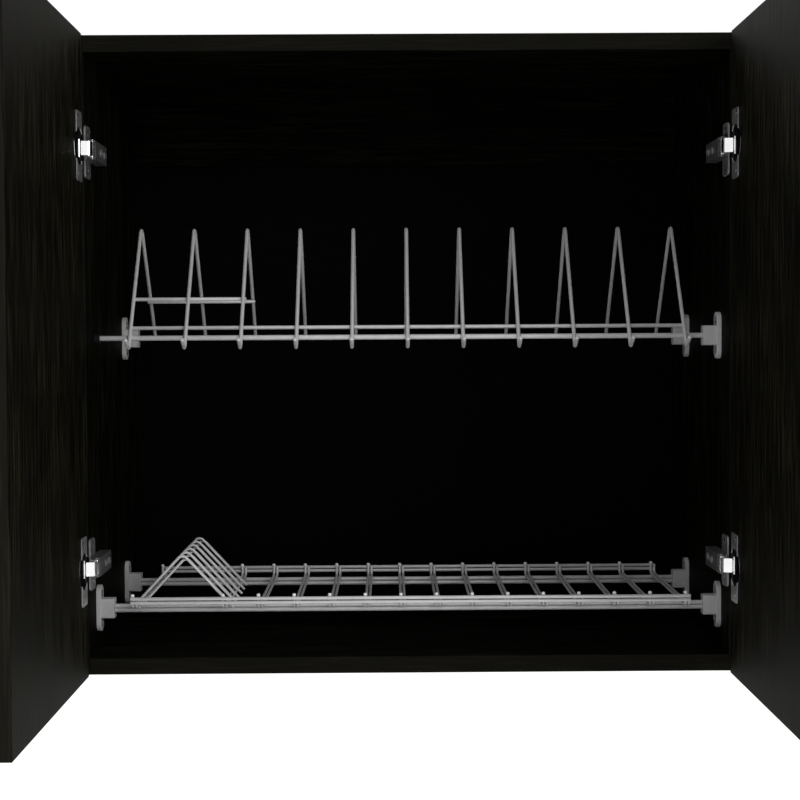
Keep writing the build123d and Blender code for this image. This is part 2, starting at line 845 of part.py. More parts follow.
left_door = door()
save("left_door", left_door)
save("right_door", mirrored(left_door))
cup = hinge_cup()
arm = hinge_arm()
plate = mounting_plate()
link = hinge_link()
for level, z in zip(("lower", "upper"), hinge_heights()):
    for name, solid in (("cup", cup), ("arm", arm), ("mounting_plate", plate), ("link", link)):
        placed = Pos(0, 0, z) * solid
        save(f"left_{level}_hinge_{name}", placed)
        save(f"right_{level}_hinge_{name}", mirrored(placed))
cup_pins = at_both_hinges([pin_at(cup_pin, cup_pin_half_length)])
arm_pins = at_both_hinges([pin_at(arm_pin, arm_pin_half_length)])
cup_screw_pairs = at_both_hinges([place * wood_screw() for place in cup_screw_places()])
plate_screws = at_both_hinges([place * wood_screw() for place in plate_screw_places()])
save("left_cup_pins", *cup_pins)
save("right_cup_pins", *[mirrored(pin) for pin in cup_pins])
save("left_link_pins", *arm_pins)
save("right_link_pins", *[mirrored(pin) for pin in arm_pins])
save("left_cup_screws", *cup_screw_pairs)
save("right_cup_screws", *[mirrored(screw) for screw in cup_screw_pairs])
save("mounting_plate_screws", *on_both_sides(plate_screws))
save("hinge_arm_screws", *on_both_sides(at_both_hinges(arm_screws())))
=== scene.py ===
import bmesh
import bpy
import numpy as np
from mathutils import Matrix, Vector


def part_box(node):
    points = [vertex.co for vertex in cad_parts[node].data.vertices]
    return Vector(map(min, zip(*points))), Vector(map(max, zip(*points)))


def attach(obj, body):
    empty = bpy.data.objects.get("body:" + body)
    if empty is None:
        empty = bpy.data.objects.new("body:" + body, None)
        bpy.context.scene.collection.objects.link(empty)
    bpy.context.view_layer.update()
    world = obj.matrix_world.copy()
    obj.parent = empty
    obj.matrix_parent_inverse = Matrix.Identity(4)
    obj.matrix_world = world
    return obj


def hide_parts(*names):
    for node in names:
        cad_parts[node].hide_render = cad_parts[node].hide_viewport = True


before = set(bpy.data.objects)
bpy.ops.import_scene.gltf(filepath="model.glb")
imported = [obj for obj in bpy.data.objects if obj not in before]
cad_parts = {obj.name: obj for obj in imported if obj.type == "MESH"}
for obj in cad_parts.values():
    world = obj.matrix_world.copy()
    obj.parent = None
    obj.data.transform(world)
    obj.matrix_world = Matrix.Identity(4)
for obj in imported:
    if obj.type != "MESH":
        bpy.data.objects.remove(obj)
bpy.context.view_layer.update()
mm = 0.001

# Camera and light
# The camera stands in front of the open doors, a little left of the middle, and looks slightly
# down, as in the photograph. An even white room gives most of the light, and one soft lamp from the
# right brightens the left door and the left brackets. A weak lamp behind serves the other views.
camera_place = (-0.0161, -1.6163, 0.2971)
camera_down, camera_roll, camera_yaw = np.radians((2.093, -0.313, 0.337))
focal_pixels = 1655.0
frame_pixels = 800.0
sensor_width = 36.0


def turn_x(angle):
    """Rotation about X by an angle, as a matrix."""
    return np.array([[1, 0, 0], [0, np.cos(angle), -np.sin(angle)], [0, np.sin(angle), np.cos(angle)]])


def turn_y(angle):
    """Rotation about Y by an angle, as a matrix."""
    return np.array([[np.cos(angle), 0, np.sin(angle)], [0, 1, 0], [-np.sin(angle), 0, np.cos(angle)]])


def turn_z(angle):
    """Rotation about Z by an angle, as a matrix."""
    return np.array([[np.cos(angle), -np.sin(angle), 0], [np.sin(angle), np.cos(angle), 0], [0, 0, 1]])


camera_data = bpy.data.cameras.new("photo_camera")
camera_data.sensor_width = sensor_width
camera_data.lens = sensor_width * focal_pixels / frame_pixels
camera_data.clip_start = 10 * mm
camera = bpy.data.objects.new("photo_camera", camera_data)
right, forward, up = turn_y(camera_roll) @ turn_x(camera_down) @ turn_z(camera_yaw)
camera.matrix_world = Matrix(np.column_stack([right, up, -forward]).tolist()).to_4x4()
camera.location = camera_place
bpy.context.scene.collection.objects.link(camera)
bpy.context.scene.camera = camera
bpy.context.scene.view_settings.view_transform = "Standard"

cabinet_middle = (0.0, -0.05, 0.28)
right_lamp_place = (1.2, -1.9, 0.9)
right_lamp_size = 0.9
right_lamp_watts = 18.0
back_lamp_place = (-0.7, 2.2, 1.8)
back_lamp_size = 1.4
back_lamp_watts = 12.0
room_strength = 0.88


def soft_lamp(name, place, size, watts):
    """Square area lamp at a place, pointed at the middle of the cabinet."""
    data = bpy.data.lights.new(name, "AREA")
    data.size = size
    data.energy = watts
    lamp = bpy.data.objects.new(name, data)
    lamp.location = place
    lamp.rotation_euler = (Vector(cabinet_middle) - Vector(place)).to_track_quat("-Z", "Y").to_euler()
    lamp.visible_camera = False
    bpy.context.scene.collection.objects.link(lamp)


soft_lamp("right_lamp", right_lamp_place, right_lamp_size, right_lamp_watts)
soft_lamp("back_lamp", back_lamp_place, back_lamp_size, back_lamp_watts)

world = bpy.data.worlds.new("white_studio")
bpy.context.scene.world = world
world.use_nodes = True
world_tree = world.node_tree
world_tree.nodes.clear()
world_out = world_tree.nodes.new("ShaderNodeOutputWorld")


def background_seen(tree):
    """One for rays that show the background: straight, mirrored or through glass."""
    path = tree.nodes.new("ShaderNodeLightPath")
    total = path.outputs["Is Camera Ray"]
    for ray in ("Is Glossy Ray", "Is Transmission Ray"):
        add = tree.nodes.new("ShaderNodeMath")
        add.operation = "MAXIMUM"
        tree.links.new(total, add.inputs[0])
        tree.links.new(path.outputs[ray], add.inputs[1])
        total = add.outputs[0]
    return total


def shader_choice(tree, factor, ordinary, seen):
    """Ordinary shader, or the other one for rays that show the background."""
    choice = tree.nodes.new("ShaderNodeMixShader")
    tree.links.new(factor, choice.inputs["Fac"])
    tree.links.new(ordinary, choice.inputs[1])
    tree.links.new(seen, choice.inputs[2])
    return choice.outputs[0]


def plain_white(tree, kind, strength):
    """White background or emission shader of a strength."""
    node = tree.nodes.new(kind)
    node.inputs["Color"].default_value = (1, 1, 1, 1)
    node.inputs["Strength"].default_value = strength
    return node.outputs[0]


room_light = plain_white(world_tree, "ShaderNodeBackground", room_strength)
white_wall = plain_white(world_tree, "ShaderNodeBackground", 1.0)
world_tree.links.new(
    shader_choice(world_tree, background_seen(world_tree), room_light, white_wall),
    world_out.inputs["Surface"],
)


# Side, top and bottom boards, and hanging rail
# Chipboard 15 mm thick with a near-black laminate whose grain runs along each board, and a thin
# band of the same pattern pressed on the edges. The hanging rail is the strip under the top board,
# against the back, that the wall pins reach into.

pore_scale = 300.0
hair_scale = 900.0
hair_strength = 0.5
band_strength = 0.5
grain_squeeze = 0.04
band_scale = 30.0
band_squeeze = 0.25
pore_roughness = 0.2
edge_band_strength = 0.5
grain_relief = 0.3
grain_depth = 0.2 * mm


def new_group(name, inputs, outputs):
    """Empty shader node group with named inputs and outputs."""
    tree = bpy.data.node_groups.new(name, "ShaderNodeTree")
    for label, kind, value in inputs:
        socket = tree.interface.new_socket(name=label, in_out="INPUT", socket_type=kind)
        if value is not None:
            socket.default_value = value
    for label, kind in outputs:
        tree.interface.new_socket(name=label, in_out="OUTPUT", socket_type=kind)
    return tree, tree.nodes.new("NodeGroupInput"), tree.nodes.new("NodeGroupOutput")


def noise(tree, vector, scale, detail=3.0, roughness=0.5):
    """Noise texture reading a vector."""
    node = tree.nodes.new("ShaderNodeTexNoise")
    node.inputs["Scale"].default_value = scale
    node.inputs["Detail"].default_value = detail
    node.inputs["Roughness"].default_value = roughness
    tree.links.new(vector, node.inputs["Vector"])
    return node.outputs["Fac"]


def stretched(tree, vector, scale=(1.0, 1.0, 1.0), turn=(0.0, 0.0, 0.0)):
    """Vector turned and then scaled along each axis."""
    node = tree.nodes.new("ShaderNodeMapping")
    node.inputs["Scale"].default_value = scale
    node.inputs["Rotation"].default_value = turn
    tree.links.new(vector, node.inputs["Vector"])
    return node.outputs["Vector"]


def ramp(tree, value, low, high):
    """Value stretched so that low becomes 0 and high becomes 1."""
    node = tree.nodes.new("ShaderNodeMapRange")
    node.inputs["From Min"].default_value = low
    node.inputs["From Max"].default_value = high
    tree.links.new(value, node.inputs["Value"])
    return node.outputs["Result"]


def calculate(tree, operation, *values):
    """Numbers or sockets put together by one operation."""
    node = tree.nodes.new("ShaderNodeMath")
    node.operation = operation
    for socket, value in zip(node.inputs, values):
        if isinstance(value, (int, float)):
            socket.default_value = value
        else:
            tree.links.new(value, socket)
    return node.outputs[0]


def mix_colour(tree, factor, a, b):
    """Colour between a and b."""
    node = tree.nodes.new("ShaderNodeMix")
    node.data_type = "RGBA"
    tree.links.new(factor, node.inputs["Factor"])
    for label, value in (("A", a), ("B", b)):
        socket = [s for s in node.inputs if s.name == label and s.type == "RGBA"][0]
        if isinstance(value, tuple):
            socket.default_value = (*value, 1)
        else:
            tree.links.new(value, socket)
    return [s for s in node.outputs if s.type == "RGBA"][0]


def grain_group():
    """Printed wood grain along Z: pores and hairs are noise drawn out along Z, stronger in broad bands."""
    tree, into, out = new_group(
        "laminate_grain",
        [
            ("Vector", "NodeSocketVector", None),
            ("Ground", "NodeSocketColor", (0, 0, 0, 1)),
            ("Pores", "NodeSocketColor", (1, 1, 1, 1)),
            ("Polish", "NodeSocketFloat", 0.5),
        ],
        [("Color", "NodeSocketColor"), ("Roughness", "NodeSocketFloat"), ("Height", "NodeSocketFloat")],
    )
    along = stretched(tree, into.outputs["Vector"], scale=(1.0, 1.0, grain_squeeze))
    slow = stretched(tree, into.outputs["Vector"], scale=(1.0, 1.0, band_squeeze))
    pores = ramp(tree, noise(tree, along, scale=pore_scale, detail=3.0, roughness=0.65), low=0.5, high=0.6)
    hairs = ramp(tree, noise(tree, along, scale=hair_scale, detail=1.0), low=0.48, high=0.66)
    bands = ramp(tree, noise(tree, slow, scale=band_scale, detail=2.0), low=0.35, high=0.65)
    streaks = calculate(tree, "MAXIMUM", pores, calculate(tree, "MULTIPLY", hairs, hair_strength))
    uneven = calculate(tree, "MULTIPLY_ADD", bands, band_strength, 1 - band_strength)
    mask = calculate(tree, "MULTIPLY", streaks, uneven)
    colour = mix_colour(tree, mask, into.outputs["Ground"], into.outputs["Pores"])
    tree.links.new(colour, out.inputs["Color"])
    rough = calculate(tree, "MULTIPLY_ADD", mask, pore_roughness, into.outputs["Polish"])
    tree.links.new(rough, out.inputs["Roughness"])
    tree.links.new(calculate(tree, "MULTIPLY", mask, -1.0), out.inputs["Height"])
    return tree


laminate_grain = grain_group()


def new_material(name):
    """Material with an empty Principled shader and the object's own coordinates."""
    material = bpy.data.materials.new(name)
    material.use_nodes = True
    tree = material.node_tree
    shader = tree.nodes["Principled BSDF"]
    coordinates = tree.nodes.new("ShaderNodeTexCoord")
    return material, tree, shader, coordinates


def bump(tree, shader, height, strength, distance):
    """Small relief on the shader's normal."""
    node = tree.nodes.new("ShaderNodeBump")
    node.inputs["Strength"].default_value = strength
    node.inputs["Distance"].default_value = distance
    tree.links.new(height, node.inputs["Height"])
    tree.links.new(node.outputs["Normal"], shader.inputs["Normal"])


def laminate(name, grain_turn, face_axis, ground, pores, band, polish, gloss):
    """Laminate with its grain along the board, and a paler band where the surface turns off the face."""
    material, tree, shader, coordinates = new_material(name)
    grain = tree.nodes.new("ShaderNodeGroup")
    grain.node_tree = laminate_grain
    grain.inputs["Ground"].default_value = (*ground, 1)
    grain.inputs["Pores"].default_value = (*pores, 1)
    grain.inputs["Polish"].default_value = polish
    tree.links.new(stretched(tree, coordinates.outputs["Object"], turn=grain_turn), grain.inputs["Vector"])
    facing = tree.nodes.new("ShaderNodeSeparateXYZ")
    tree.links.new(coordinates.outputs["Normal"], facing.inputs[0])
    on_face = calculate(tree, "ABSOLUTE", facing.outputs[face_axis])
    edge = calculate(tree, "MULTIPLY", ramp(tree, on_face, low=0.8, high=0.2), edge_band_strength)
    banded = mix_colour(tree, edge, grain.outputs["Color"], band)
    tree.links.new(banded, shader.inputs["Base Color"])
    tree.links.new(grain.outputs["Roughness"], shader.inputs["Roughness"])
    shader.inputs["Specular IOR Level"].default_value = gloss
    bump(tree, shader, grain.outputs["Height"], strength=grain_relief, distance=grain_depth)
    return material


def dress(node, material):
    """Give a CAD node its material."""
    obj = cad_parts[node]
    obj.data.materials.clear()
    obj.data.materials.append(material)


grain_upright = (0.0, 0.0, 0.0)
grain_lying = (0.0, -np.pi / 2, 0.0)
board_ground = (0.0005, 0.0005, 0.0004)
board_pores = (0.0085, 0.0080, 0.0052)
board_band = (0.0080, 0.0076, 0.0056)
board_polish = 0.55
board_gloss = 0.02
rail_pores = (0.005, 0.005, 0.003)
rail_gloss = 0.01
side_laminate = laminate(
    "side_laminate", grain_upright, "X", board_ground, board_pores, board_band, board_polish, board_gloss
)
shelf_laminate = laminate(
    "shelf_laminate", grain_lying, "Z", board_ground, board_pores, board_band, board_polish, board_gloss
)
rail_laminate = laminate(
    "rail_laminate", grain_lying, "Y", board_ground, rail_pores, board_band, board_polish, rail_gloss
)
for board in ("left_side_panel", "right_side_panel"):
    dress(board, side_laminate)
for board in ("top_panel", "bottom_panel"):
    dress(board, shelf_laminate)
dress("hanging_rail", rail_laminate)


# Back panel
# Thin hardboard nailed on the boards' rear edges, lacquered black, with the fine pressed mottle of
# hardboard under the lacquer.

lacquer_dark = (0.0008, 0.0008, 0.0008)
lacquer_pale = (0.0024, 0.0024, 0.0022)
lacquer_polish = 0.55
lacquer_gloss = 0.01
mottle_scale = 90.0
mottle_roughness = 0.2
fibre_scale = 900.0
fibre_relief = 0.2
fibre_depth = 0.2 * mm
back_lacquer, back_tree, back_shader, back_coordinates = new_material("back_lacquer")
back_place = back_coordinates.outputs["Object"]
back_mottle = noise(back_tree, back_place, scale=mottle_scale)
back_colour = mix_colour(back_tree, back_mottle, lacquer_dark, lacquer_pale)
back_tree.links.new(back_colour, back_shader.inputs["Base Color"])
back_rough = calculate(back_tree, "MULTIPLY_ADD", back_mottle, mottle_roughness, lacquer_polish)
back_tree.links.new(back_rough, back_shader.inputs["Roughness"])
back_shader.inputs["Specular IOR Level"].default_value = lacquer_gloss
back_fibres = noise(back_tree, back_place, scale=fibre_scale)
bump(back_tree, back_shader, back_fibres, strength=fibre_relief, distance=fibre_depth)
dress("back_panel", back_lacquer)


# Doors
# Two slabs of the same chipboard with a dark brown laminate, grain upright, edged all round with a
# slightly paler band and softened at the edges.

door_laminate = laminate(
    "door_laminate",
    grain_upright,
    "X",
    ground=(0.0006, 0.0005, 0.0003),
    pores=(0.0150, 0.0140, 0.0075),
    band=(0.0140, 0.0135, 0.0105),
    polish=0.6,
    gloss=0.03,
)
for door in ("left_door", "right_door"):
    dress(door, door_laminate)


# Hinge cups, arms, mounting plates and links
# Each hinge is pressed from steel strip: a drawn cup with a flange in the door, a channel-shaped arm
# on a winged mounting plate, and a bright link between them. Cup, plate and link are nickel plated,
# with painted shade darkening the cup inside, and the arm has a dark matt coat. All show the strip's
# faint draw lines.

cloud_scale = 160.0
draw_line_scale = 2600.0
draw_line_squeeze = 0.08
worn_roughness = 0.15
draw_line_depth = 0.1 * mm
# Painted shade: the cup is painted dark inside, from a little short of the door's face inwards.
cup_painted_shade = (0.03, 0.03, 0.03)
cup_shade_depth = 1.2 * mm
cup_shade_fade = 0.5 * mm


def metal_group():
    """Plating: clouds times fine lines along Z give the colour, the roughness and the height."""
    tree, into, out = new_group(
        "plated_metal",
        [
            ("Vector", "NodeSocketVector", None),
            ("Bright", "NodeSocketColor", (0.8, 0.8, 0.8, 1)),
            ("Dull", "NodeSocketColor", (0.5, 0.5, 0.5, 1)),
            ("Polish", "NodeSocketFloat", 0.25),
        ],
        [("Color", "NodeSocketColor"), ("Roughness", "NodeSocketFloat"), ("Height", "NodeSocketFloat")],
    )
    clouds = ramp(tree, noise(tree, into.outputs["Vector"], scale=cloud_scale), low=0.3, high=0.7)
    drawn = stretched(tree, into.outputs["Vector"], scale=(1.0, 1.0, draw_line_squeeze))
    lines = noise(tree, drawn, scale=draw_line_scale, detail=2.0)
    worn = calculate(tree, "MULTIPLY", clouds, lines)
    colour = mix_colour(tree, worn, into.outputs["Bright"], into.outputs["Dull"])
    tree.links.new(colour, out.inputs["Color"])
    rough = calculate(tree, "MULTIPLY_ADD", worn, worn_roughness, into.outputs["Polish"])
    tree.links.new(rough, out.inputs["Roughness"])
    tree.links.new(lines, out.inputs["Height"])
    return tree


plated_metal = metal_group()


def plated(name, bright, dull, polish, metallic, relief, shade_from=None):
    """Plated or coated steel of its own tones and polish, with painted shade beyond a given distance
    across.
    """
    material, tree, shader, coordinates = new_material(name)
    finish = tree.nodes.new("ShaderNodeGroup")
    finish.node_tree = plated_metal
    finish.inputs["Bright"].default_value = (*bright, 1)
    finish.inputs["Dull"].default_value = (*dull, 1)
    finish.inputs["Polish"].default_value = polish
    tree.links.new(coordinates.outputs["Object"], finish.inputs["Vector"])
    colour = finish.outputs["Color"]
    # Painted shade: beyond the given distance across, the colour turns dark.
    if shade_from is not None:
        place = tree.nodes.new("ShaderNodeSeparateXYZ")
        tree.links.new(coordinates.outputs["Object"], place.inputs[0])
        across = calculate(tree, "ABSOLUTE", place.outputs["X"])
        inside = ramp(tree, across, shade_from, shade_from + cup_shade_fade)
        colour = mix_colour(tree, inside, colour, cup_painted_shade)
    tree.links.new(colour, shader.inputs["Base Color"])
    tree.links.new(finish.outputs["Roughness"], shader.inputs["Roughness"])
    shader.inputs["Metallic"].default_value = metallic
    bump(tree, shader, finish.outputs["Height"], strength=relief, distance=draw_line_depth)
    return material


polished = {"polish": 0.1, "metallic": 1.0, "relief": 0.05}
bright_nickel = plated("bright_nickel", (0.92, 0.92, 0.92), (0.8, 0.8, 0.8), **polished)
matt = {"polish": 0.28, "metallic": 0.95, "relief": 0.04}
matt_nickel = plated("matt_nickel", (0.85, 0.85, 0.85), (0.72, 0.72, 0.72), **matt)
# The cups get painted shade inside, where they sink into the doors.
cup_mouth = -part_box("left_door")[1].x - cup_shade_depth
cup_nickel = plated("cup_nickel", (0.85, 0.85, 0.85), (0.72, 0.72, 0.72), **matt, shade_from=cup_mouth)
coated = {"polish": 0.4, "metallic": 0.3, "relief": 0.1}
arm_coat = plated("arm_coat", (0.065, 0.065, 0.065), (0.045, 0.045, 0.045), **coated)
hinge_finishes = {"cup": cup_nickel, "arm": arm_coat, "mounting_plate": matt_nickel, "link": bright_nickel}
for side in ("left", "right"):
    for level in ("lower", "upper"):
        for piece, finish in hinge_finishes.items():
            dress(f"{side}_{level}_hinge_{piece}", finish)
    for pins in ("cup_pins", "link_pins"):
        dress(f"{side}_{pins}", bright_nickel)


# Screws and nails
# Zinc plated steel. Every screw has a cross recess pressed into its head, turned as it stopped when
# it was driven home. The small ones hold hinges and brackets, two in each hinge arm fix and adjust
# it, and headed ones pull the four boards together. The arm screws' zinc is painted darker as painted
# shade. Plain nails hold the back panel.

merge_distance = 0.001 * mm
smooth_angle = np.radians(40)
cross_arm_width_share = 0.16
cross_arm_length_share = 0.58
cross_arm_step_shares = (0.6, 0.95, 1.0)
recess_depth_share = 0.45
cross_wall_share = 0.9
face_edge_share = 0.85
countersunk_rim_share = 0.15
straight_rim_share = 0.9
turn_between_screws = 2.4
wood_screw = {
    "outwards": False,
    "head_share": 0.46,
    "dome_share": 0.0,
    "shank_share": 0.5,
    "countersunk": True,
}
arm_screw = {
    "outwards": False,
    "head_share": 0.4,
    "dome_share": 0.12,
    "shank_share": 0.5,
    "countersunk": False,
}
board_screw = {
    "outwards": True,
    "head_share": 0.6,
    "dome_share": 0.0,
    "shank_share": 0.55,
    "countersunk": False,
}
zinc = plated("zinc_plate", (0.55, 0.56, 0.58), (0.38, 0.38, 0.40), polish=0.24, metallic=1.0, relief=0.15)
# Painted shade: the hinge arm screws use the same zinc, painted darker than the rest.
darkened = {"polish": 0.3, "metallic": 0.8, "relief": 0.1}
shade_painted_zinc = plated("shade_painted_zinc", (0.24, 0.24, 0.25), (0.16, 0.16, 0.17), **darkened)


def separate_solids(node):
    """Corner points of each solid in a CAD node.

    Every point takes the lowest number among the points that its edges reach, until none changes.
    """
    shell = bmesh.new()
    shell.from_mesh(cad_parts[node].data)
    bmesh.ops.remove_doubles(shell, verts=shell.verts, dist=merge_distance)
    merged = bpy.data.meshes.new(f"{node}_merged")
    shell.to_mesh(merged)
    shell.free()
    points = np.empty(3 * len(merged.vertices), np.float32)
    merged.vertices.foreach_get("co", points)
    points = points.reshape(-1, 3).astype(float)
    edges = np.empty(2 * len(merged.edges), np.int32)
    merged.edges.foreach_get("vertices", edges)
    edges = edges.reshape(-1, 2)
    bpy.data.meshes.remove(merged)
    labels = np.arange(len(points))
    while True:
        lowest = labels[edges].min(axis=1)
        before = labels.copy()
        np.minimum.at(labels, edges[:, 0], lowest)
        np.minimum.at(labels, edges[:, 1], lowest)
        if np.array_equal(labels, before):
            break
    return [points[labels == label] for label in np.unique(labels)]


def closed_piece(name, grids, material, body, replaced=()):
    """Piece of closed surfaces, each a grid of rings by sides by XYZ, joined ring to ring.

    The first and the last ring of a grid are points, so that its ends are closed.
    """
    faces = []
    first = 0
    for grid in grids:
        rings, sides = grid.shape[:2]
        index = first + np.arange(rings * sides).reshape(rings, sides)
        beside = np.roll(index, -1, axis=1)
        faces.append(np.stack([index[:-1], beside[:-1], beside[1:], index[1:]], axis=-1).reshape(-1, 4))
        first += rings * sides
    mesh = bpy.data.meshes.new(name)
    points = np.concatenate([grid.reshape(-1, 3) for grid in grids])
    mesh.from_pydata(points.tolist(), [], np.concatenate(faces).tolist())
    shell = bmesh.new()
    shell.from_mesh(mesh)
    bmesh.ops.remove_doubles(shell, verts=shell.verts, dist=merge_distance / 2)
    bmesh.ops.recalc_face_normals(shell, faces=shell.faces)
    shell.to_mesh(mesh)
    shell.free()
    mesh.shade_smooth()
    mesh.set_sharp_from_angle(angle=smooth_angle)
    mesh.materials.append(material)
    obj = bpy.data.objects.new(name, mesh)
    bpy.context.scene.collection.objects.link(obj)
    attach(obj, body)
    if replaced:
        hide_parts(*replaced)


def cross_columns(radius, arm_half_width):
    """Angles round a screw head, in quarters: the arm's middle, both sides of its wall, the open face.

    The wall lies where the sine of the angle is the arm's half width over the radius, so its columns run
    straight along the arm.
    """
    wall = np.arcsin(np.clip(arm_half_width / max(radius, arm_half_width * np.sqrt(2)), 0, 1))
    in_arm = wall * cross_wall_share
    quarter = np.array([0.0, in_arm, wall, np.pi / 4, np.pi / 2 - wall, np.pi / 2 - in_arm])
    return (quarter + np.pi / 2 * np.arange(4)[:, None]).ravel()


def driven_screw(head_radius, dome, head_height, shank_radius, length, countersunk, turned):
    """Screw along -Z with its head's rim at zero: a domed face, then the head and the shank.

    The face's height is the dome's times one less the square of the radius over the head's radius. Inside
    the cross it lies lower by the recess, whose columns are the first two and the last of each quarter.
    """
    arm_half_width = cross_arm_width_share * head_radius
    arm_length = cross_arm_length_share * head_radius
    recess = recess_depth_share * head_height
    in_recess = np.tile([1, 1, 0, 0, 0, 1], 4)
    arm_radii = [share * arm_length for share in cross_arm_step_shares]
    open_radii = [face_edge_share * head_radius, head_radius]
    face_radii = np.array([0.0, arm_half_width * np.sqrt(2), *arm_radii, *open_radii])
    sunk = np.array([1, 1, 1, 1, 0, 0, 0])
    rings = []
    for radius, deep in zip(face_radii, sunk):
        angle = cross_columns(radius, arm_half_width) + turned
        lowered = recess * deep * np.where(radius == 0, 1, in_recess)
        height = dome * (1 - (radius / head_radius) ** 2) - lowered
        rings.append(np.stack([radius * np.cos(angle), radius * np.sin(angle), height], axis=-1))
    angle = cross_columns(head_radius, arm_half_width) + turned
    rim_share = countersunk_rim_share if countersunk else straight_rim_share
    for radius, depth in (
        (head_radius, rim_share * head_height),
        (shank_radius, head_height),
        (shank_radius, length - shank_radius),
        (0.0, length),
    ):
        round_ring = [radius * np.cos(angle), radius * np.sin(angle), np.full(len(angle), -depth)]
        rings.append(np.stack(round_ring, axis=-1))
    return np.array(rings)


def screws_on(node, outwards, head_share, dome_share, shank_share, countersunk):
    """Screws along X in the places of a CAD node's solids, heads out of the cabinet's sides or inwards.

    The head's radius is half a solid's height. Its own height, its dome and the shank's radius are shares
    of it.
    """
    grids = []
    for count, points in enumerate(separate_solids(node)):
        low = points.min(axis=0)
        high = points.max(axis=0)
        middle = (low + high) / 2
        way = np.sign(middle[0]) if outwards else -np.sign(middle[0])
        length = (high - low)[0]
        head_radius = (high - low)[2] / 2
        dome = dome_share * head_radius
        middle[0] = (high if way > 0 else low)[0] - way * dome
        screw = driven_screw(
            head_radius,
            dome,
            head_share * head_radius,
            shank_share * head_radius,
            length - dome,
            countersunk,
            turned=turn_between_screws * count,
        )
        grids.append(screw[..., (2, 0, 1)] * (way, way, 1) + middle)
    return grids


for node, kind, coat, body in (
    ("mounting_plate_screws", wood_screw, zinc, "cabinet"),
    ("bracket_screws", wood_screw, zinc, "cabinet"),
    ("left_cup_screws", wood_screw, zinc, "left_door"),
    ("right_cup_screws", wood_screw, zinc, "right_door"),
    ("hinge_arm_screws", arm_screw, shade_painted_zinc, "cabinet"),
    ("carcass_screws", board_screw, zinc, "cabinet"),
):
    closed_piece(f"{node}_driven", screws_on(node, **kind), coat, body, [node])
dress("back_panel_nails", zinc)


# Wall brackets and rail peg
# Moulded in grey plastic with a fine spark-eroded texture: a rounded flange screwed to the side
# board and a block that takes the rail ends. The peg in the left side is black.

flow_scale = 240.0
grit_scale = 3200.0
grit_roughness = 0.2
grit_relief = 0.25
grit_depth = 0.1 * mm


def moulded(name, tone, shade, roughness, gloss):
    """Moulded plastic: a slight mottle and a fine matt texture."""
    material, tree, shader, coordinates = new_material(name)
    place = coordinates.outputs["Object"]
    mottle = noise(tree, place, scale=flow_scale)
    tree.links.new(mix_colour(tree, mottle, tone, shade), shader.inputs["Base Color"])
    grit = noise(tree, place, scale=grit_scale, detail=2.0)
    rough = calculate(tree, "MULTIPLY_ADD", grit, grit_roughness, roughness)
    tree.links.new(rough, shader.inputs["Roughness"])
    shader.inputs["Specular IOR Level"].default_value = gloss
    bump(tree, shader, grit, strength=grit_relief, distance=grit_depth)
    return material


grey_plastic = moulded("grey_plastic", (0.45, 0.45, 0.45), (0.36, 0.36, 0.36), roughness=0.4, gloss=0.3)
deep_black = (0.003, 0.003, 0.003)
black_plastic = moulded("black_plastic", (0.006, 0.006, 0.006), deep_black, roughness=0.5, gloss=0.1)
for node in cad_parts:
    if node.endswith("_bracket"):
        dress(node, grey_plastic)
dress("rail_end_peg", black_plastic)


# Upper plate rack
# Drawn steel wire coated in satin silver: two rails, dividers bent from one wire each, a stop wire
# low behind their front legs, and two short wires for small plates. Every crossing is spot welded,
# and the coating fills it with a small bead. The rails' ends lie in the brackets.

satin = {"polish": 0.34, "metallic": 0.2, "relief": 0.1}
silver_coat = plated("silver_coat", (0.56, 0.56, 0.56), (0.44, 0.44, 0.44), **satin)
weld_sink = 0.2 * mm
upper_rail_radius = 2.3 * mm
divider_radius = 1.75 * mm
divider_bend = 6.0 * mm
toe_bend = 3.0 * mm
toe_length = 18.0 * mm
toe_rise = 8.0 * mm
foot_drop = 9.4 * mm
divider_pitch = 50.5 * mm
divider_count = 11
apex_back = 118.0 * mm
apex_rise = 106.2 * mm
stop_wire_rise = 9.2 * mm
small_plate_rise = 35.9 * mm
bead_rings = 7
bead_sides = 12
foot_bead_shares = np.array([1.3, 1.15, 1.15])
cross_bead_shares = np.array([1.3, 0.6, 1.2])


def bent_line(corners, bends, steps=8):
    """Straight runs joined by arcs.

    An arc's centre lies on its corner's bisector, at the bend's radius over the sine of half the corner's
    angle, and the arc spans what that angle leaves of a half turn.
    """
    corners = np.asarray(corners, float)
    points = [corners[:1]]
    for before, corner, after, radius in zip(corners, corners[1:], corners[2:], bends):
        back = (before - corner) / np.linalg.norm(before - corner)
        onward = (after - corner) / np.linalg.norm(after - corner)
        half = np.arccos(np.dot(back, onward)) / 2
        inward = (back + onward) / np.linalg.norm(back + onward)
        along = (onward - back) / np.linalg.norm(onward - back)
        swing = np.linspace(half - np.pi / 2, np.pi / 2 - half, steps)[:, None]
        centre = corner + inward * radius / np.sin(half)
        points.append(centre + radius * (along * np.sin(swing) - inward * np.cos(swing)))
    points.append(corners[-1:])
    return np.concatenate(points)


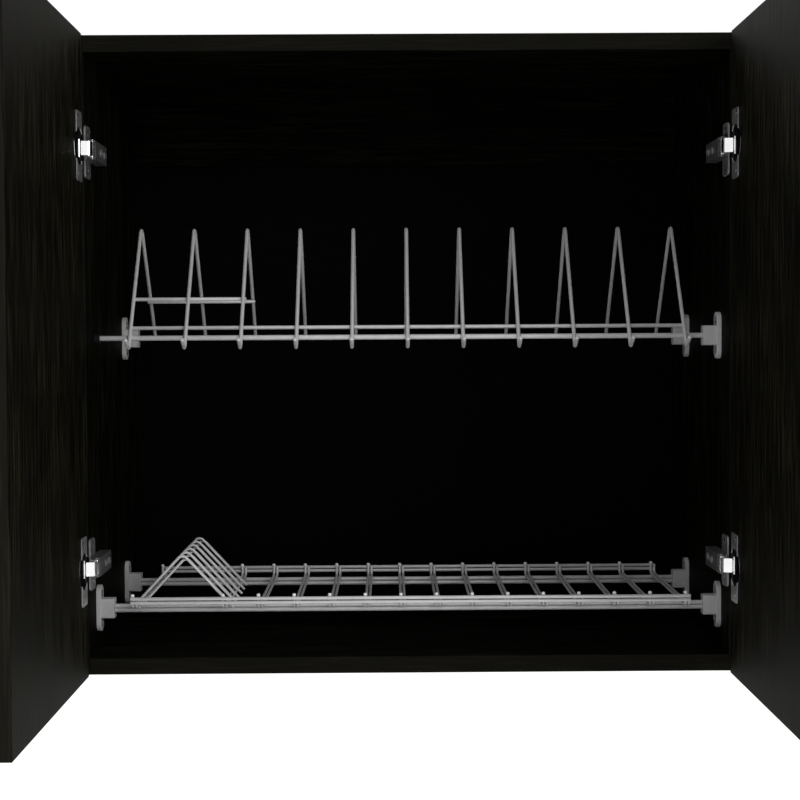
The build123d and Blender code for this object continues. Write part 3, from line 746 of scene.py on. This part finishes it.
def wire_grid(line, radius, across, sides=16, dome_rings=5, dome_share=0.45):
    """Round wire along a line that lies flat, square to across: rings about the line, and domed ends.

    In a dome the rings' radius is the wire's times the sine of an angle, and they stand in from the end
    by a share of the wire's radius times one less the angle's cosine.
    """
    line = np.asarray(line, float)
    across = np.asarray(across, float)
    runs = np.diff(line, axis=0)
    runs /= np.linalg.norm(runs, axis=1, keepdims=True)
    ways = np.concatenate([runs[:1], runs[:-1] + runs[1:], runs[-1:]])
    ways /= np.linalg.norm(ways, axis=1, keepdims=True)
    dome = np.linspace(0, np.pi / 2, dome_rings)[:, None]
    inset = dome_share * radius * (1 - np.cos(dome))
    ends = np.repeat(ways[:1], dome_rings, axis=0), np.repeat(ways[-1:], dome_rings, axis=0)
    centres = np.concatenate([line[0] + ends[0] * inset, line[1:-1], line[-1] - ends[1] * inset[::-1]])
    ways = np.concatenate([ends[0], ways[1:-1], ends[1]])
    widths = radius * np.concatenate([np.sin(dome), np.ones((len(line) - 2, 1)), np.sin(dome[::-1])])
    upward = np.cross(ways, across)
    turn = np.linspace(0, 2 * np.pi, sides, endpoint=False)[None, :, None]
    return centres[:, None] + widths[:, None] * (np.cos(turn) * across + np.sin(turn) * upward[:, None])


def beads(places, half_size):
    """Weld beads: at each place a ball of rings from pole to pole, times its half size along each axis."""
    polar = np.linspace(0, np.pi, bead_rings)[:, None]
    turn = np.linspace(0, 2 * np.pi, bead_sides, endpoint=False)
    height = np.broadcast_to(np.cos(polar), (len(polar), len(turn)))
    ball = np.stack([np.sin(polar) * np.cos(turn), np.sin(polar) * np.sin(turn), height], axis=-1)
    return [ball * half_size + place for place in places]


along_x = (1.0, 0.0, 0.0)
along_y = (0.0, 1.0, 0.0)
front_rail_low, front_rail_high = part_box("upper_front_rail")
rear_rail_low, rear_rail_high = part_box("upper_rear_rail")
rail_front = (front_rail_low.y + front_rail_high.y) / 2
rail_rear = (rear_rail_low.y + rear_rail_high.y) / 2
upper_level = (front_rail_low.z + front_rail_high.z) / 2
divider_places = divider_pitch * (np.arange(divider_count) - (divider_count - 1) / 2)
cabinet_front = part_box("bottom_panel")[0].y
apex = np.array([cabinet_front + apex_back, upper_level + apex_rise])

to_rail = np.array([rail_front, upper_level]) - apex
lean = np.arctan2(to_rail[1], to_rail[0])
stand_off = upper_rail_radius + divider_radius - weld_sink
lean -= np.arcsin(stand_off / np.linalg.norm(to_rail))
front_leg = np.array([np.cos(lean), np.sin(lean)])
rear_leg = np.array([rail_rear, upper_level]) - apex
rear_leg /= np.linalg.norm(rear_leg)


def on_leg(leg, height):
    """Depth of a leg's axis at a height: from the apex down the leg's direction."""
    return apex[0] + leg[0] * (height - apex[1]) / leg[1]


def flat_wires(node, lines, radius, across):
    """Wires in place of a CAD node, each along its own flat line."""
    grids = [wire_grid(line, radius, across) for line in lines]
    closed_piece(f"{node}_coated", grids, silver_coat, "cabinet", [node])


for node in ("upper_front_rail", "upper_rear_rail"):
    low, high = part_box(node)
    line = [(low.x, (low.y + high.y) / 2, upper_level), (high.x, (low.y + high.y) / 2, upper_level)]
    flat_wires(node, [line], upper_rail_radius, along_y)

rear_foot = np.array([rail_rear, upper_level]) - rear_leg * (upper_rail_radius - weld_sink)
foot_level = upper_level - foot_drop
foot = np.array([on_leg(front_leg, foot_level), foot_level])
toe = foot + (-toe_length, toe_rise)
divider_corners = np.array([rear_foot, apex, foot, toe])
divider_side_view = np.column_stack([np.zeros(len(divider_corners)), divider_corners])
divider_lines = [bent_line(divider_side_view + (x, 0, 0), (divider_bend, toe_bend)) for x in divider_places]
flat_wires("plate_dividers", divider_lines, divider_radius, along_x)

inner_stand_off = 2 * divider_radius - weld_sink
stop_level = upper_level + stop_wire_rise
small_level = upper_level + small_plate_rise
cross_wire_places = []
for node, level, legs in (
    ("plate_stop_wire", stop_level, [(front_leg, 1)]),
    ("small_plate_wires", small_level, [(front_leg, 1), (rear_leg, -1)]),
):
    low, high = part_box(node)
    depths = [on_leg(leg, level) + way * inner_stand_off / abs(leg[1]) for leg, way in legs]
    lines = [[(low.x, depth, level), (high.x, depth, level)] for depth in depths]
    flat_wires(node, lines, divider_radius, along_y)
    touching = [depth - way * inner_stand_off / abs(leg[1]) / 2 for depth, (leg, way) in zip(depths, legs)]
    reached = divider_places[(divider_places > low.x) & (divider_places < high.x)]
    cross_wire_places += [(x, depth, level) for depth in touching for x in reached]

leg_square = np.array([-front_leg[1], front_leg[0]])
front_contact = np.array([rail_front, upper_level]) - leg_square * upper_rail_radius
upper_welds = beads([(x, *front_contact) for x in divider_places], foot_bead_shares * divider_radius)
upper_welds += beads([(x, *rear_foot) for x in divider_places], foot_bead_shares * divider_radius)
upper_welds += beads(cross_wire_places, cross_bead_shares * divider_radius)
closed_piece("upper_weld_beads", upper_welds, silver_coat, "cabinet")


# Lower tray
# The same coated wire, thinner: paired rails, paired cross wires welded over them with both ends
# turned up and pale thick tips, two rim wires along each row of ends, and at the left six pairs of
# hoops, bent to a peak, that hold cups. The rails' ends lie in the lower brackets.

lower_rail_radius = 2.0 * mm
tray_radius = 1.4 * mm
cross_wire_radius = 1.25 * mm
companion_shift = 3.4 * mm
rim_wire_radius = 1.55 * mm
rim_overrun = 0.4 * mm
tip_cap_radius = 1.7 * mm
tip_cap_length = 3.5 * mm
tray_bend = 4.0 * mm
companion_drop = 3.0 * mm
tray_pitch = 32.0 * mm
cup_bay_least_width = 80.0 * mm
hoop_count = 6
hoop_pitch = 27.0 * mm
hoop_first_back = 25.0 * mm
hoop_slope = np.radians(47.0)
hoop_bend = 5.0 * mm
hoop_overrun = 0.5 * mm
hoop_radius = 1.22 * mm
pair_gap = 0.05 * mm
tip_dome_share = 0.8
rail_bead_shares = np.array([2.2, 1.25, 0.6])
rim_bead_shares = np.array([1.25, 0.6, 1.2])
hoop_bead_shares = np.array([0.9, 1.3, 0.9])

for node in ("lower_front_rail", "lower_front_rail_twin", "lower_rear_rail", "lower_rear_rail_twin"):
    low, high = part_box(node)
    middle = (low + high) / 2
    line = [(low.x, middle.y, middle.z), (high.x, middle.y, middle.z)]
    flat_wires(node, [line], lower_rail_radius, along_y)

tray_low, tray_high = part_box("tray_cross_wires")
tray_front = tray_low.y + tray_radius
tray_rear = tray_high.y - tray_radius
tray_level = tray_low.z + tray_radius
tray_half_span = tray_high.x - tray_radius
side_by_side = 2 * tray_radius - weld_sink
row_steps = int((2 * tray_half_span - cup_bay_least_width) / tray_pitch)
row_places = tray_half_span - tray_pitch * np.arange(row_steps, -1, -1)
tray_places = np.concatenate([[-tray_half_span], row_places])


def tray_line(x, tip_height):
    """Tray wire from front to back at a place across, with both ends bent up to a height."""
    corners = [
        (x, tray_front, tip_height),
        (x, tray_front, tray_level),
        (x, tray_rear, tray_level),
        (x, tray_rear, tip_height),
    ]
    return bent_line(corners, (tray_bend, tray_bend))


tip_level = tray_high.z
flat_wires("tray_cross_wires", [tray_line(x, tip_level) for x in tray_places], cross_wire_radius, along_x)
companion_lines = [tray_line(x + companion_shift, tip_level - companion_drop) for x in tray_places]
flat_wires("tray_companion_wires", companion_lines, cross_wire_radius, along_x)
rim_start = tray_places[0] - tray_radius - rim_overrun
rim_end = tray_places[-1] + side_by_side + tray_radius + rim_overrun
for node in ("tray_front_rim", "tray_rear_rim"):
    low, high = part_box(node)
    depth = (low.y + high.y) / 2
    levels = (low.z + tray_radius, high.z - tray_radius)
    lines = [[(rim_start, depth, level), (rim_end, depth, level)] for level in levels]
    flat_wires(node, lines, rim_wire_radius, along_y)

dipped = {"polish": 0.3, "metallic": 0.1, "relief": 0.05}
tip_coat = plated("tip_coat", (0.85, 0.85, 0.85), (0.75, 0.75, 0.75), **dipped)
tip_foot = tip_level - tip_cap_length
tip_lines = [[(x, y, tip_foot), (x, y, tip_level)] for y in (tray_front, tray_rear) for x in tray_places]
tip_caps = [wire_grid(line, tip_cap_radius, along_x, dome_share=tip_dome_share) for line in tip_lines]
closed_piece("tray_tip_caps", tip_caps, tip_coat, "cabinet")

right_foot = tray_places[1] + side_by_side + side_by_side / np.sin(hoop_slope)
hoop_middle = (right_foot - tray_half_span) / 2
hoop_corner = (hoop_middle, tray_level + (hoop_middle + tray_half_span) * np.tan(hoop_slope))
hoop_depths = cabinet_front + hoop_first_back + hoop_pitch * np.arange(hoop_count)


def hoop_line(depth, shift, left_level, right_level):
    """Cup hoop from its left foot over the peak to its right foot, moved by shift down its right leg."""
    x = hoop_corner[0] + shift * np.cos(hoop_slope)
    z = hoop_corner[1] - shift * np.sin(hoop_slope)
    left = (x - (z - left_level) / np.tan(hoop_slope), depth, left_level)
    right = (x + (z - right_level) / np.tan(hoop_slope), depth, right_level)
    return bent_line([left, (x, depth, z), right], [hoop_bend])


left_level = tray_level + (tray_radius - weld_sink) * np.sin(hoop_slope)
right_level = tray_level + side_by_side * np.cos(hoop_slope) - hoop_overrun * np.sin(hoop_slope)
hoop_lines = [hoop_line(depth, 0, left_level, right_level) for depth in hoop_depths]
flat_wires("cup_hoops", hoop_lines, hoop_radius, along_y)
hoop_shift = (side_by_side + side_by_side / np.sin(hoop_slope)) / (2 * np.cos(hoop_slope))
low_level = tray_level - side_by_side * np.cos(hoop_slope) - tray_radius * np.sin(hoop_slope)
behind_hoops = hoop_depths + 2 * tray_radius + pair_gap
companion_hoop_lines = [hoop_line(depth, hoop_shift, low_level, low_level) for depth in behind_hoops]
flat_wires("cup_companion_hoops", companion_hoop_lines, hoop_radius, along_y)

pair_middles = tray_places + side_by_side / 2
rim_places = []
for node, tips in (("tray_front_rim", tray_front), ("tray_rear_rim", tray_rear)):
    low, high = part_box(node)
    contact = (tips + (low.y + high.y) / 2) / 2
    levels = (low.z + tray_radius, high.z - tray_radius)
    rim_places += [(x, contact, level) for level in levels for x in tray_places]
rail_places = [(x, y, tray_level - tray_radius) for y in (rail_front, rail_rear) for x in pair_middles]
foot_places = [(-tray_half_span, y, left_level) for y in hoop_depths]
lower_welds = beads(rail_places, rail_bead_shares * tray_radius)
lower_welds += beads(rim_places, rim_bead_shares * tray_radius)
lower_welds += beads(foot_places, hoop_bead_shares * tray_radius)
closed_piece("lower_weld_beads", lower_welds, silver_coat, "cabinet")


# Floor
# A white studio floor well below the cabinet, which hangs on a wall. It keeps the cabinet's shadow.

floor_drop = 0.55
floor_half = 6.0
floor_white = (0.85, 0.85, 0.85)
floor_roughness = 0.8
floor_gloss = 0.1
floor_glow = 0.3
floor_mesh = bpy.data.meshes.new("studio_floor")
corner_signs = np.array([(-1, -1), (1, -1), (1, 1), (-1, 1)], float)
floor_points = np.column_stack([corner_signs * floor_half, np.full(len(corner_signs), -floor_drop)])
floor_mesh.from_pydata(floor_points.tolist(), [], [tuple(range(len(floor_points)))])
floor = bpy.data.objects.new("studio_floor", floor_mesh)
bpy.context.scene.collection.objects.link(floor)
floor_paint = bpy.data.materials.new("floor_paint")
floor_paint.use_nodes = True
floor_tree = floor_paint.node_tree
floor_shader = floor_tree.nodes["Principled BSDF"]
floor_shader.inputs["Base Color"].default_value = (*floor_white, 1)
floor_shader.inputs["Roughness"].default_value = floor_roughness
floor_shader.inputs["Specular IOR Level"].default_value = floor_gloss
floor_plain = floor_shader.outputs[0]
brighter = floor_tree.nodes.new("ShaderNodeAddShader")
floor_tree.links.new(floor_plain, brighter.inputs[0])
floor_tree.links.new(plain_white(floor_tree, "ShaderNodeEmission", floor_glow), brighter.inputs[1])
floor_look = shader_choice(floor_tree, background_seen(floor_tree), floor_plain, brighter.outputs[0])
floor_tree.links.new(floor_look, floor_tree.nodes["Material Output"].inputs["Surface"])
floor_mesh.materials.append(floor_paint)
